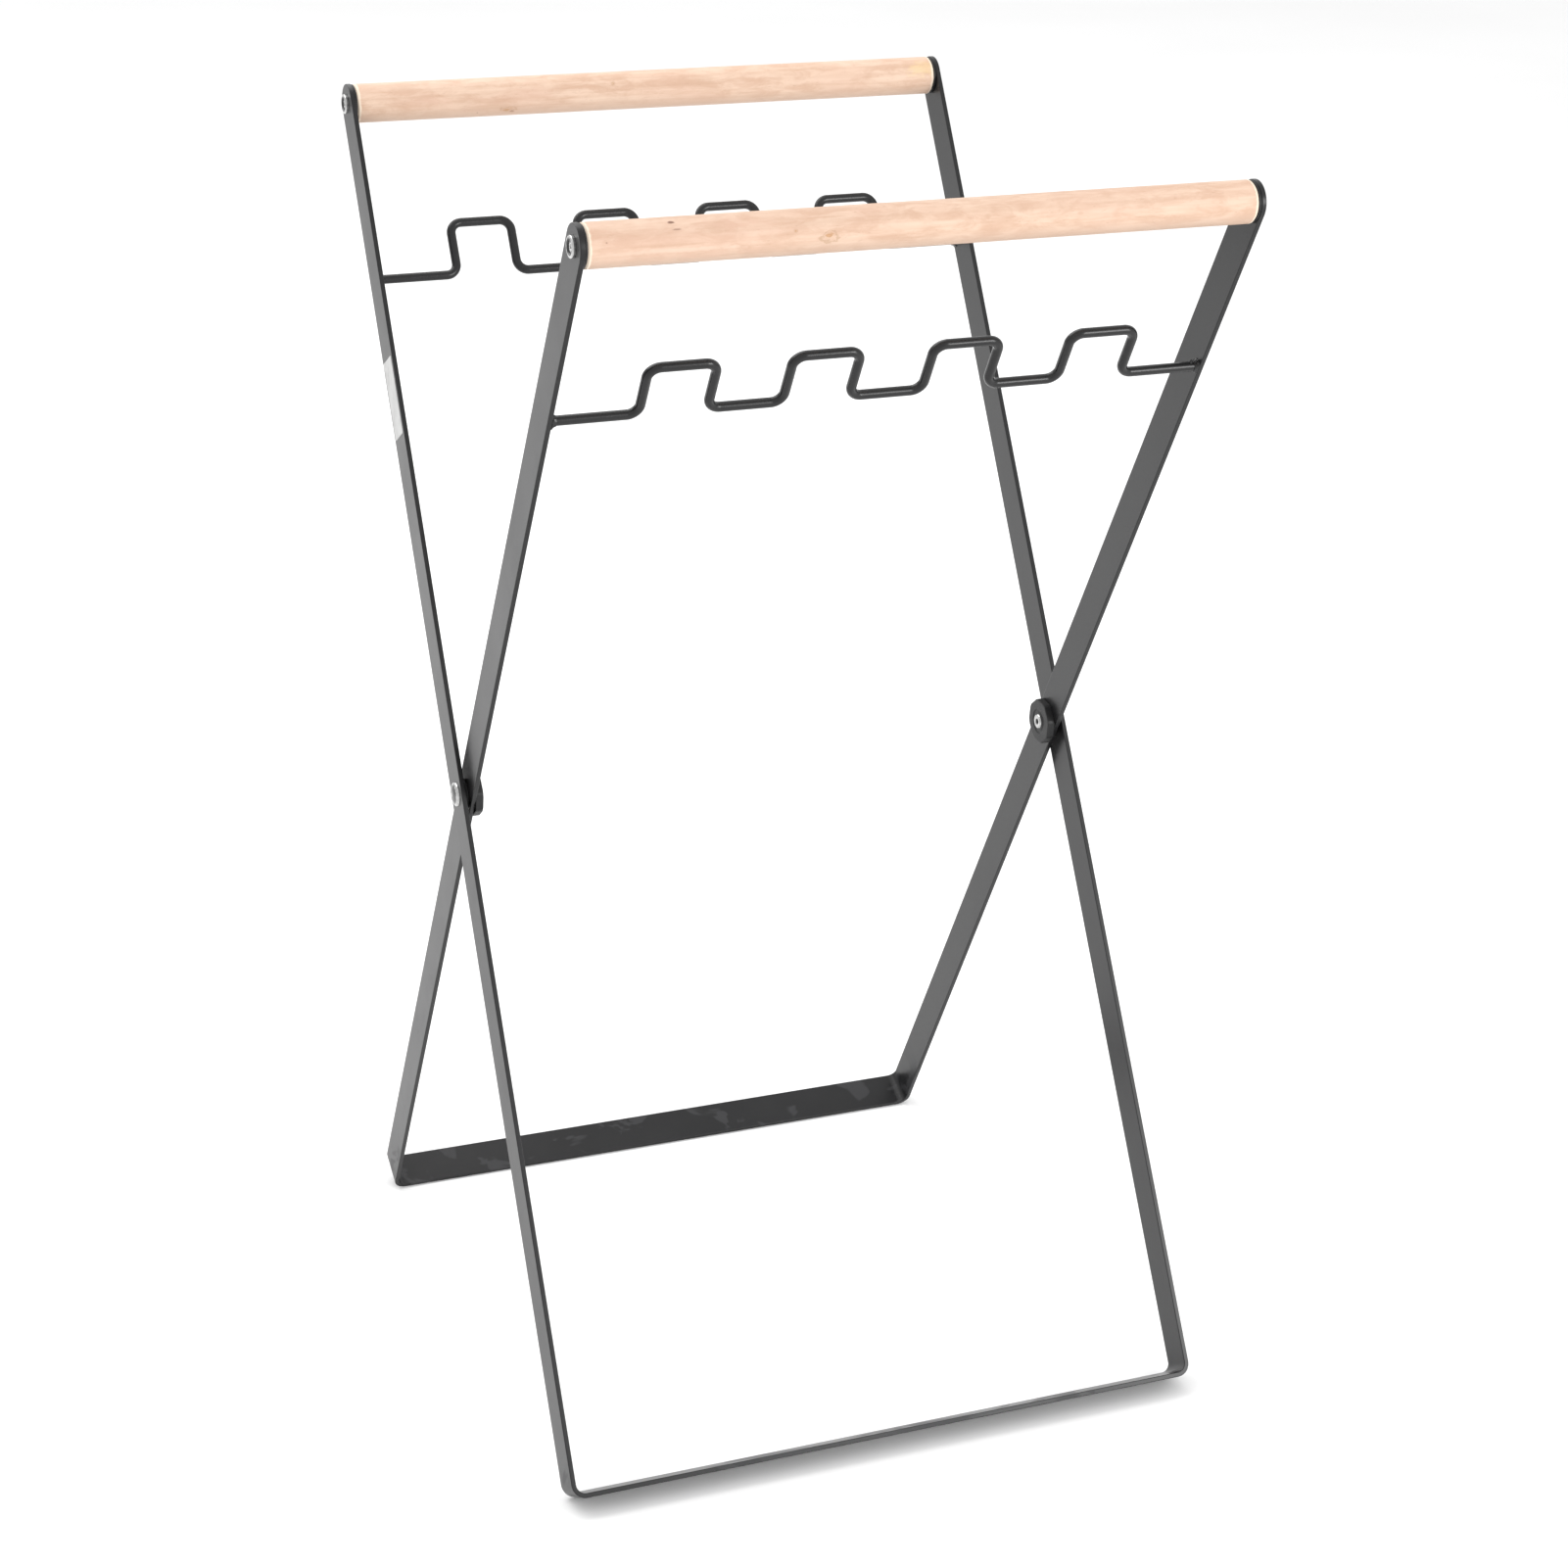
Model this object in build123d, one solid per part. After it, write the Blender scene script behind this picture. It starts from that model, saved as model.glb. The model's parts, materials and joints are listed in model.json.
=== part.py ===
"""Folding clothes drying rack: two crossed U-shaped frames of flat steel bar, a wooden rail and a
humped hook wire across the top of each, and one riveted pivot in each pair of legs.

Row frame: +Z up, X along the rails, Y from front (-) to rear (+). The origin is on the floor, at the
middle of the footprint. All sizes are in millimetres.

The outer frame stands on its front foot bar and carries the rear rail. The inner frame stands on its
rear foot bar and carries the front rail. Each frame is drawn flat, in frame coordinates: x across the
frame, y up the legs from the underside of the foot bar, z square to the frame.
"""
from math import asin, cos, degrees, pi, radians, sin
import os

from build123d import *

# ---- flat bar and leg geometry
BAR_WIDTH = 25.4
BAR_THICKNESS = 3.0
BAR_EDGE_RADIUS = 0.4
BEND_OUTER_RADIUS = 9.0
LEG_LENGTH = 902.5           # underside of the foot bar to the rail's axis
PIVOT_UP_LEG = 443.9         # underside of the foot bar to the pivot's axis
LEAN = radians(30.35)        # each frame's tilt from upright, open

# ---- half the outside width of each frame
OUTER_TOP_HALF = 208.2
OUTER_FOOT_HALF = 212.5
INNER_HALF = 204.7

# ---- rails, with their end discs and screws
RAIL_RADIUS = 12.5
RAIL_CHAMFER = 1.1
DISC_THICKNESS = 1.4
DISC_RADIUS = 12.3
SCREW_HEAD_RADIUS = 6.3
SCREW_HEAD_HEIGHT = 2.2
SCREW_HEAD_EDGE = 0.9        # rounding round the head
SCREW_DISH_RADIUS = 4.5      # the round hollow in the head's face
SCREW_DISH_DEPTH = 0.75
SCREW_DISH_SLOPE = 0.55
SCREW_RADIUS = 2.75
SCREW_LENGTH = 42.0
SCREW_TIP = 6.0
SCREW_HOLE_RADIUS = 3.0
PILOT_CLEARANCE = 0.02
CROSS_LENGTH = 3.5           # the cross recess in the hollow's floor
CROSS_WIDTH = 0.85
CROSS_DEPTH = 1.0

# ---- hook wires
WIRE_RADIUS = 3.0
WIRE_BEND_RADIUS = 7.4
OUTER_WIRE_BELOW_RAIL = 116.5      # rail axis to the wire's low runs, down the legs
INNER_WIRE_BELOW_RAIL = 120.2
HUMP_HEIGHT = 35.0
HUMP_WIDTH = 41.0            # between the centrelines of a hump's two risers
HUMP_PITCH = 86.5
HUMP_COUNT = 4
WIRE_INSET = 0.3             # from the legs' edge
WELD_RADIUS = 5.2
WELD_LENGTH = 2.8

# ---- pivots
RIVET_RADIUS = 3.75
RIVET_CLEARANCE = 0.05
RIVET_HEAD_RADIUS = 7.9
RIVET_HEAD_HEIGHT = 3.3
RIVET_HEAD_RIM = 0.65
RIVET_CLINCH_RADIUS = 5.0
RIVET_CLINCH_HEIGHT = 1.2
RIVET_HOLLOW_RADIUS = 1.5
RIVET_HOLLOW_DEPTH = 6.5
COLLAR_SIDES = 8
COLLAR_FLATS = 28.5
COLLAR_THICKNESS = 5.1
COLLAR_TURN = 30.0           # degrees
COLLAR_CHAMFER = 0.75
SPACER_RADIUS = 9.2

# ---- blank label on the outer frame's left leg
LABEL_WIDTH = 20.5
LABEL_LENGTH = 51.5
LABEL_THICKNESS = 0.15
LABEL_BELOW_RAIL = 198.7     # rail axis to the label's middle

# ---- worked out from the sizes above
HALF_BAR = BAR_WIDTH / 2
FOOT_LIFT = HALF_BAR * sin(LEAN) - BAR_EDGE_RADIUS * (sin(LEAN) + cos(LEAN) - 1)
FOOT_Y = PIVOT_UP_LEG * sin(LEAN)
PIVOT_Z = FOOT_LIFT + PIVOT_UP_LEG * cos(LEAN)
WIRE_OFFSET = HALF_BAR - WIRE_RADIUS - WIRE_INSET
OUTER_FLARE = (OUTER_FOOT_HALF - OUTER_TOP_HALF) / LEG_LENGTH    # slope of the outer frame's legs
OUTER_PIVOT_HALF = OUTER_FOOT_HALF - OUTER_FLARE * PIVOT_UP_LEG
INNER_FACE = INNER_HALF - BAR_THICKNESS      # inner frame's legs, inside
FRAME_GAP = OUTER_PIVOT_HALF - BAR_THICKNESS - INNER_HALF
BORE_RADIUS = RIVET_RADIUS + RIVET_CLEARANCE
FAR = 2 * LEG_LENGTH

# frame coordinates to the row frame: outer frame's foot in front, inner frame's foot at the rear
OUTER_PLANE = Plane(
    origin=(0, -FOOT_Y, FOOT_LIFT), x_dir=(1, 0, 0), z_dir=(0, -cos(LEAN), sin(LEAN))
)
INNER_PLANE = Plane(
    origin=(0, FOOT_Y, FOOT_LIFT), x_dir=(1, 0, 0), z_dir=(0, -cos(LEAN), -sin(LEAN))
)
# the edge of each frame's legs that faces away from the other frame, at the top
OUTER_AWAY = -1
INNER_AWAY = 1


def half_width(top_half, foot_half, up_leg):
    """Half the frame's outside width at a height up the legs."""
    return foot_half + (top_half - foot_half) * up_leg / LEG_LENGTH


def u_outline(top_half, foot_half, inset, corner_radius):
    """The frame's outline, moved inwards by inset, as a face that is open past the leg tops."""
    reach = LEG_LENGTH + BAR_WIDTH
    reach_half = half_width(top_half, foot_half, reach) - inset
    low_half = half_width(top_half, foot_half, inset) - inset
    corners = [(-reach_half, reach), (-low_half, inset), (low_half, inset), (reach_half, reach)]
    face = make_face(Polyline(corners, close=True))
    foot_corners = face.vertices().sort_by(Axis.Y)[:2]
    return fillet(foot_corners, corner_radius)


def leg_side_profile():
    """Everything inside the legs' side view: straight edges, and a round top about the rail's axis."""
    strip = Pos(0, LEG_LENGTH / 2 - BAR_WIDTH, 0) * Box(FAR, LEG_LENGTH + 2 * BAR_WIDTH, BAR_WIDTH)
    round_top = Pos(0, LEG_LENGTH, 0) * Rot(0, 90, 0) * Cylinder(HALF_BAR, FAR)
    return strip + round_top


def cross_hole(up_leg, radius):
    """A hole through both legs."""
    return Pos(0, up_leg, 0) * Rot(0, 90, 0) * Cylinder(radius, FAR)


def u_frame(top_half, foot_half):
    """One frame of flat bar, bent round the foot's two corners, in frame coordinates."""
    outside = u_outline(top_half, foot_half, 0, BEND_OUTER_RADIUS)
    inside = u_outline(top_half, foot_half, BAR_THICKNESS, BEND_OUTER_RADIUS - BAR_THICKNESS)
    bar = extrude(outside - inside, HALF_BAR, both=True)
    bar = bar & leg_side_profile()
    bar = fillet(long_edges(bar), BAR_EDGE_RADIUS)
    return bar - cross_hole(LEG_LENGTH, SCREW_HOLE_RADIUS) - cross_hole(PIVOT_UP_LEG, BORE_RADIUS)


def long_edges(bar):
    """The bar's edges along its two narrow sides, round the leg tops included."""
    def on_narrow_side(edge):
        middle = edge.center()
        return abs(abs(middle.Z) - HALF_BAR) < 0.01 or middle.Y > LEG_LENGTH + 1
    return [e for e in bar.edges() if on_narrow_side(e) and e.length > BAR_THICKNESS + 0.5]


def turned(points, arcs=()):
    """A solid turned about the X axis. Points are (x, radius); arcs maps a point's number to the
    middle of the arc that leads from it to the next point."""
    arcs = dict(arcs)
    edges = []
    for i, start in enumerate(points):
        end = points[(i + 1) % len(points)]
        if i in arcs:
            edges.append(ThreePointArc(start, arcs[i], end))
        else:
            edges.append(Line(start, end))
    return revolve(make_face(Wire(edges)), Axis.X, 360)


def right_and_left(right):
    """A piece on the right-hand side, and its mirror image on the left."""
    return {"right": right, "left": mirror(right, Plane.YZ)}


def rail(inside_half):
    """A round wooden rail between the two end discs, with a pilot hole for each screw."""
    half = inside_half - DISC_THICKNESS
    body = turned([
        (-half, 0), (-half, RAIL_RADIUS - RAIL_CHAMFER), (-half + RAIL_CHAMFER, RAIL_RADIUS),
        (half - RAIL_CHAMFER, RAIL_RADIUS), (half, RAIL_RADIUS - RAIL_CHAMFER), (half, 0),
    ])
    reach = SCREW_LENGTH - BAR_THICKNESS - DISC_THICKNESS
    pilot_radius = SCREW_RADIUS + PILOT_CLEARANCE
    pilot = turned([
        (half - reach, 0), (half - reach + SCREW_TIP, pilot_radius), (half + 1, pilot_radius),
        (half + 1, 0),
    ])
    for side in right_and_left(pilot).values():
        body -= side
    return body


def end_disc(inside_half):
    """The thin disc between a leg and the rail's right-hand end."""
    return turned([
        (inside_half - DISC_THICKNESS, SCREW_HOLE_RADIUS), (inside_half - DISC_THICKNESS, DISC_RADIUS),
        (inside_half, DISC_RADIUS), (inside_half, SCREW_HOLE_RADIUS),
    ])


def rail_screw(outside_half):
    """A wood screw through the right-hand leg into the rail's end. Its flat head has a round hollow in
    its face, and a cross recess in the hollow's floor."""
    seat = outside_half
    top = seat + SCREW_HEAD_HEIGHT
    floor = top - SCREW_DISH_DEPTH
    edge = SCREW_HEAD_EDGE
    edge_inset = edge * (1 - cos(radians(45)))
    screw = turned([
        (seat - SCREW_LENGTH, 0), (seat - SCREW_LENGTH + SCREW_TIP, SCREW_RADIUS), (seat, SCREW_RADIUS),
        (seat, SCREW_HEAD_RADIUS), (top - edge, SCREW_HEAD_RADIUS), (top, SCREW_HEAD_RADIUS - edge),
        (top, SCREW_DISH_RADIUS), (floor, SCREW_DISH_RADIUS - SCREW_DISH_SLOPE), (floor, 0),
    ], arcs={4: (top - edge_inset, SCREW_HEAD_RADIUS - edge_inset)})
    slot_place = Pos(floor - CROSS_DEPTH / 2, 0, 0)
    for turn in (20, 110):
        screw -= slot_place * Rot(turn, 0, 0) * Box(CROSS_DEPTH, CROSS_LENGTH, CROSS_WIDTH)
    return screw


def hook_wire(inside_half, low):
    """A round wire with a row of square humps, from leg to leg, in frame coordinates at z = 0. low is
    the height of its low runs up the legs."""
    high = low + HUMP_HEIGHT
    points = [(-inside_half, low)]
    for i in range(HUMP_COUNT):
        middle = (i - (HUMP_COUNT - 1) / 2) * HUMP_PITCH
        left, right = middle - HUMP_WIDTH / 2, middle + HUMP_WIDTH / 2
        points += [(left, low), (left, high), (right, high), (right, low)]
    points.append((inside_half, low))
    path = FilletPolyline(points, radius=WIRE_BEND_RADIUS)
    section = Plane(origin=(-inside_half, low, 0), z_dir=(1, 0, 0)) * Circle(WIRE_RADIUS)
    return sweep(section, path)


def weld_beads(inside_half, low, away):
    """The two beads that hold the ends of a wire's low runs, kept inside the legs' width."""
    bead = turned([
        (inside_half - WELD_LENGTH, WIRE_RADIUS), (inside_half, WIRE_RADIUS),
        (inside_half, WELD_RADIUS), (inside_half - 0.5, WELD_RADIUS),
    ], arcs={3: (inside_half - 0.45 * WELD_LENGTH, 0.3 * WELD_RADIUS + 0.7 * WIRE_RADIUS)})
    bead = Pos(0, low, away * WIRE_OFFSET) * bead
    bead &= Pos(0, low, 0) * Box(FAR, 4 * WELD_RADIUS, BAR_WIDTH)
    return Compound(children=list(right_and_left(bead).values()))


def pivot_rivet():
    """A semi-tubular rivet: domed head outside, shank through both legs, rolled end inside."""
    seat = OUTER_PIVOT_HALF + OUTER_FLARE * RIVET_HEAD_RADIUS
    crown = seat + RIVET_HEAD_HEIGHT
    rim = seat + RIVET_HEAD_RIM
    collar_face = INNER_FACE - COLLAR_THICKNESS
    end = collar_face - RIVET_CLINCH_HEIGHT
    dome_rise = RIVET_HEAD_HEIGHT - RIVET_HEAD_RIM
    dome_radius = (RIVET_HEAD_RADIUS ** 2 + dome_rise ** 2) / (2 * dome_rise)
    half_angle = asin(RIVET_HEAD_RADIUS / dome_radius) / 2
    dome_middle = (crown - dome_radius * (1 - cos(half_angle)), dome_radius * sin(half_angle))
    roll_middle = (RIVET_CLINCH_RADIUS + RIVET_HOLLOW_RADIUS) / 2
    return turned([
        (end + RIVET_HOLLOW_DEPTH, 0), (end + RIVET_HOLLOW_DEPTH, RIVET_HOLLOW_RADIUS),
        (end + 0.6, RIVET_HOLLOW_RADIUS), (collar_face, RIVET_CLINCH_RADIUS),
        (collar_face, RIVET_RADIUS), (seat, RIVET_RADIUS), (seat, RIVET_HEAD_RADIUS),
        (rim, RIVET_HEAD_RADIUS), (crown, 0),
    ], arcs={2: (end, roll_middle), 7: dome_middle})


def pivot_collar():
    """The thick eight-sided collar between the inner frame's leg and the rivet's rolled end."""
    corner_radius = COLLAR_FLATS / 2 / cos(pi / COLLAR_SIDES)
    face = INNER_FACE - COLLAR_THICKNESS
    outline = Plane.YZ.offset(face) * RegularPolygon(corner_radius, COLLAR_SIDES, rotation=COLLAR_TURN)
    collar = extrude(outline, COLLAR_THICKNESS)
    rounding = turned([
        (face, 0), (face, corner_radius - COLLAR_CHAMFER), (face + COLLAR_CHAMFER, corner_radius),
        (INNER_FACE, corner_radius), (INNER_FACE, 0),
    ])
    return (collar & rounding) - Rot(0, 90, 0) * Cylinder(BORE_RADIUS, FAR)


def pivot_spacer():
    """The washer that keeps the two frames' legs apart."""
    far_face = INNER_HALF + FRAME_GAP - OUTER_FLARE * SPACER_RADIUS
    return turned([
        (INNER_HALF, BORE_RADIUS), (INNER_HALF, SPACER_RADIUS), (far_face, SPACER_RADIUS),
        (far_face, BORE_RADIUS),
    ])


def blank_label():
    """A thin rectangular label, flat on the outside of the outer frame's left leg."""
    outside = u_outline(OUTER_TOP_HALF, OUTER_FOOT_HALF, -LABEL_THICKNESS, BEND_OUTER_RADIUS)
    leg_face = u_outline(OUTER_TOP_HALF, OUTER_FOOT_HALF, 0, BEND_OUTER_RADIUS)
    layer = extrude(outside - leg_face, LABEL_WIDTH / 2, both=True)
    middle = (-OUTER_TOP_HALF, LEG_LENGTH - LABEL_BELOW_RAIL, 0)
    return layer & Pos(middle) * Box(40, LABEL_LENGTH, LABEL_WIDTH)


def frame_nodes(name, plane, away, top_half, foot_half, wire_below_rail):
    """One frame with its rail, end discs, screws, hook wire and welds, in the row frame. Each flat
    seat stands off a flared leg by the leg's slope across the seat's radius."""
    flare = (foot_half - top_half) / LEG_LENGTH
    rail_inside = top_half - BAR_THICKNESS - flare * DISC_RADIUS
    wire_low = LEG_LENGTH - wire_below_rail
    wire_inside = half_width(top_half, foot_half, wire_low) - BAR_THICKNESS
    wire = hook_wire(wire_inside - flare * WIRE_RADIUS, wire_low)
    at_rail = Pos(0, LEG_LENGTH, 0)
    flat = {
        f"{name}_frame": u_frame(top_half, foot_half),
        f"{name}_rail": at_rail * rail(rail_inside),
        f"{name}_hook_wire": Pos(0, 0, away * WIRE_OFFSET) * wire,
        f"{name}_wire_welds": weld_beads(wire_inside - flare * WELD_RADIUS, wire_low, away),
    }
    for side, disc in right_and_left(end_disc(rail_inside)).items():
        flat[f"{name}_rail_disc_{side}"] = at_rail * disc
    for side, screw in right_and_left(rail_screw(top_half + flare * SCREW_HEAD_RADIUS)).items():
        flat[f"{name}_rail_screw_{side}"] = at_rail * screw
    return {node: plane * shape for node, shape in flat.items()}


def pivot_nodes():
    """Rivets, collars and spacers, on the pivot's axis in the row frame."""
    nodes = {}
    for name, piece in (
        ("pivot_rivet", pivot_rivet()), ("pivot_collar", pivot_collar()), ("pivot_spacer", pivot_spacer()),
    ):
        for side, shape in right_and_left(piece).items():
            nodes[f"{name}_{side}"] = Pos(0, 0, PIVOT_Z) * shape
    return nodes


def main():
    nodes = frame_nodes(
        "outer", OUTER_PLANE, OUTER_AWAY, OUTER_TOP_HALF, OUTER_FOOT_HALF, OUTER_WIRE_BELOW_RAIL
    )
    nodes |= frame_nodes("inner", INNER_PLANE, INNER_AWAY, INNER_HALF, INNER_HALF, INNER_WIRE_BELOW_RAIL)
    nodes |= pivot_nodes()
    nodes["blank_label"] = OUTER_PLANE * blank_label()
    os.makedirs("parts", exist_ok=True)
    for node, shape in nodes.items():
        export_step(shape, f"parts/{node}.step")
    open_angle = degrees(2 * LEAN)
    print(f"{len(nodes)} nodes; pivot at z {PIVOT_Z:.3f} mm; frames {open_angle:.2f} degrees apart")
    print(f"gap between the frames' legs at the pivot {FRAME_GAP:.3f} mm")


main()
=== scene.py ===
"""Looks of the folding clothes drying rack: powder-coated flat-bar frames, wooden rails, humped hook
wires with their welds, rail screws, riveted pivots and a blank label, on a plain pale floor.

Row frame, in metres: +Z up, X along the rails, -Y the front. Lengths are written in millimetres times
MM. Each of the rack's two frames is drawn flat, in frame coordinates: x across the frame, y up the legs
from the underside of the foot bar, z square to the frame and away from the other frame's top.
"""
from math import atan2, cos, degrees, pi, radians, sin, sqrt, tan
import json

import bmesh
import bpy
from mathutils import Matrix, Vector, noise


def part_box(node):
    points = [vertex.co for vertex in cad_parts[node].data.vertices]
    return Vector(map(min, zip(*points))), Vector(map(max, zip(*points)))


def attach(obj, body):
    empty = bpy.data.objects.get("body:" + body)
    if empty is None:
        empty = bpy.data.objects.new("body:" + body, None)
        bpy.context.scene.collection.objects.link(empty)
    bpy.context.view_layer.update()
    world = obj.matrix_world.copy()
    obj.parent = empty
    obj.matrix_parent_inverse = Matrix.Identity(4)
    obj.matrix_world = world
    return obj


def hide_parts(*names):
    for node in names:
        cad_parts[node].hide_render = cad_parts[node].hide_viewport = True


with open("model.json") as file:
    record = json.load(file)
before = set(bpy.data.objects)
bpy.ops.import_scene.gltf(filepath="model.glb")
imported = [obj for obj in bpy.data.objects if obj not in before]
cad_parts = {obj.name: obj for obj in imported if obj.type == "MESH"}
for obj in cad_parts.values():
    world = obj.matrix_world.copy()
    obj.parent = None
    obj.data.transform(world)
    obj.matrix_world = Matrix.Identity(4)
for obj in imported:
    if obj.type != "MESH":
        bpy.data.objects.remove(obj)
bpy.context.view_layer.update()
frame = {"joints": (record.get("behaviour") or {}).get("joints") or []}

MM = 0.001

# ---- sizes of the formed parts, in metres
BAR_WIDTH = 25.4 * MM
BAR_THICKNESS = 3.0 * MM
BAR_EDGE_RADIUS = 0.45 * MM
BEND_OUTER_RADIUS = 9.0 * MM
FOOT_TO_PIVOT = 443.9 * MM
OUTER_TOP_HALF = 208.2 * MM
OUTER_FOOT_HALF = 212.5 * MM
INNER_HALF = 204.7 * MM
RAIL_RADIUS = 12.5 * MM
WIRE_RADIUS = 3.0 * MM
WIRE_BEND_RADIUS = 7.4 * MM
WIRE_BELOW_RAIL = {"outer": 116.5 * MM, "inner": 120.2 * MM}
WIRE_AWAY = 9.4 * MM
HUMP_HEIGHT = 35.0 * MM
HUMP_WIDTH = 41.0 * MM
HUMP_PITCH = 86.5 * MM
HUMP_COUNT = 4
HALF_BAR = BAR_WIDTH / 2

# ---- places from the frame
PIVOT = Vector(frame["joints"][0]["pos_m"])
SIDE = {"outer": 1, "inner": -1}       # +1 where the frame's top is at the rear


def middle(node):
    """The middle of a CAD node's box."""
    low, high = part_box(node)
    return (low + high) / 2


PIVOT_TO_RAIL = middle("outer_rail") - PIVOT
LEAN = atan2(PIVOT_TO_RAIL.y, PIVOT_TO_RAIL.z)
LEG_LENGTH = FOOT_TO_PIVOT + PIVOT_TO_RAIL.length
TOP_HALF = {"outer": OUTER_TOP_HALF, "inner": INNER_HALF}
FOOT_HALF = {"outer": OUTER_FOOT_HALF, "inner": INNER_HALF}


def half_width(side, up):
    """Half a frame's outside width at a height up its legs."""
    return FOOT_HALF[side] + (TOP_HALF[side] - FOOT_HALF[side]) * up / LEG_LENGTH


def frame_matrix(side):
    """Frame coordinates to the row frame."""
    up = Vector((0, SIDE[side] * sin(LEAN), cos(LEAN)))
    away = Vector((0, SIDE[side] * cos(LEAN), -sin(LEAN)))
    origin = PIVOT - FOOT_TO_PIVOT * up
    across = Vector((1, 0, 0))
    return Matrix.Translation(origin) @ Matrix((across, up, away)).transposed().to_4x4()


# ---------------------------------------------------------------- mesh helpers
def arc_steps(turn, step_degrees=6.0):
    """How many short steps a turn is divided into."""
    return max(2, round(degrees(abs(turn)) / step_degrees))


def rounded_path(corners, radii, run_step=None):
    """Stations (point, heading) along straight runs joined by arcs. radii has one value for each inner
    corner, and 0 leaves a corner sharp. run_step divides the straight runs."""
    corners = [Vector(c) for c in corners]
    stations = []

    def run(start, end):
        """Stations from start to end, without the end."""
        length = (end - start).length
        if length < 1e-9:
            return
        heading = atan2(end.y - start.y, end.x - start.x)
        count = max(1, round(length / run_step)) if run_step else 1
        for i in range(count):
            stations.append((start.lerp(end, i / count), heading))

    start = corners[0]
    for before, corner, after, radius in zip(corners, corners[1:], corners[2:], radii):
        into, out = (corner - before).normalized(), (after - corner).normalized()
        turn = atan2(into.x * out.y - into.y * out.x, into.dot(out))
        reach = radius * tan(abs(turn) / 2)
        arc_start = corner - into * reach
        run(start, arc_start)
        start = corner + out * reach
        if radius > 0:
            heading = atan2(into.y, into.x)
            way = 1 if turn > 0 else -1
            centre = arc_start + Vector((-into.y, into.x)) * radius * way
            count = arc_steps(turn)
            for i in range(count):
                angle = heading + turn * i / count
                stations.append((centre + Vector((sin(angle), -cos(angle))) * radius * way, angle))
    run(start, corners[-1])
    heading = atan2(corners[-1].y - start.y, corners[-1].x - start.x)
    stations.append((corners[-1], heading))
    return stations


def skin(bm, rows, closed):
    """Quads between neighbouring rows of vertices. closed joins each row's last vertex to its first."""
    for low, high in zip(rows, rows[1:]):
        count = len(low)
        for i in range(count if closed else count - 1):
            j = (i + 1) % count
            bm.faces.new((low[i], low[j], high[j], high[i]))


def lathe(profile, segments=72, wobble=None):
    """A solid turned about the X axis. profile is a list of (x, radius): from axis to axis, or a closed
    outline clear of the axis. wobble(x, angle) is added to the radius."""
    bm = bmesh.new()
    solid = profile[0][1] < 1e-9

    def ring(x, radius):
        row = []
        for i in range(segments):
            angle = 2 * pi * i / segments
            r = radius + (wobble(x, angle) if wobble else 0)
            row.append(bm.verts.new((x, r * cos(angle), r * sin(angle))))
        return row

    rows = [ring(x, r) for x, r in profile if r > 1e-9]
    if solid:
        ends = [bm.verts.new((profile[0][0], 0, 0)), bm.verts.new((profile[-1][0], 0, 0))]
        for pole, row in zip(ends, (rows[0], rows[-1])):
            for i in range(segments):
                bm.faces.new((pole, row[i], row[(i + 1) % segments]))
    else:
        rows.append(rows[0])
    skin(bm, rows, closed=True)
    return bm


def rounded_profile(corners, radii):
    """A lathe profile from corner points (x, radius), with a radius for each inner corner."""
    return [tuple(point) for point, _ in rounded_path(corners, radii)]


def rounded_loop(corners, radius):
    """A closed lathe profile with every corner rounded."""
    first = (Vector(corners[0]) + Vector(corners[-1])) / 2
    stations = rounded_path([first, *corners, first], [radius] * len(corners))
    return [tuple(point) for point, _ in stations[:-1]]


def mirrored(bm):
    """The same mesh on the other side of X = 0."""
    bm.transform(Matrix.Scale(-1, 4, (1, 0, 0)))
    return bm


def cut_away(target, cutters):
    """Removes the cutters' shapes from the target object, and deletes the cutters."""
    for cutter in cutters:
        step = target.modifiers.new("cut", "BOOLEAN")
        step.object = cutter
        step.operation = "DIFFERENCE"
        step.solver = "EXACT"
    graph = bpy.context.evaluated_depsgraph_get()
    mesh = bpy.data.meshes.new_from_object(target.evaluated_get(graph))
    target.modifiers.clear()
    target.data = mesh
    for cutter in cutters:
        bpy.data.objects.remove(cutter)


def loose_object(name, bm, matrix=None):
    """A linked object made from a bmesh, which is used up."""
    if matrix is not None:
        bm.transform(matrix)
    bmesh.ops.recalc_face_normals(bm, faces=bm.faces)
    mesh = bpy.data.meshes.new(name)
    bm.to_mesh(mesh)
    bm.free()
    thing = bpy.data.objects.new(name, mesh)
    bpy.context.scene.collection.objects.link(thing)
    return thing


def finish_piece(thing, material, body, node, sharp_degrees=40.0):
    """Shading and material for a piece that stands for one CAD node: parents it to its body's empty and hides
    the node.
    """
    mesh = thing.data
    mesh.polygons.foreach_set("use_smooth", [True] * len(mesh.polygons))
    mesh.set_sharp_from_angle(angle=radians(sharp_degrees))
    mesh.materials.clear()
    mesh.materials.append(material)
    normals = thing.modifiers.new("normals", "WEIGHTED_NORMAL")
    normals.keep_sharp = True
    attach(thing, body)
    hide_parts(node)
    return thing


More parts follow.
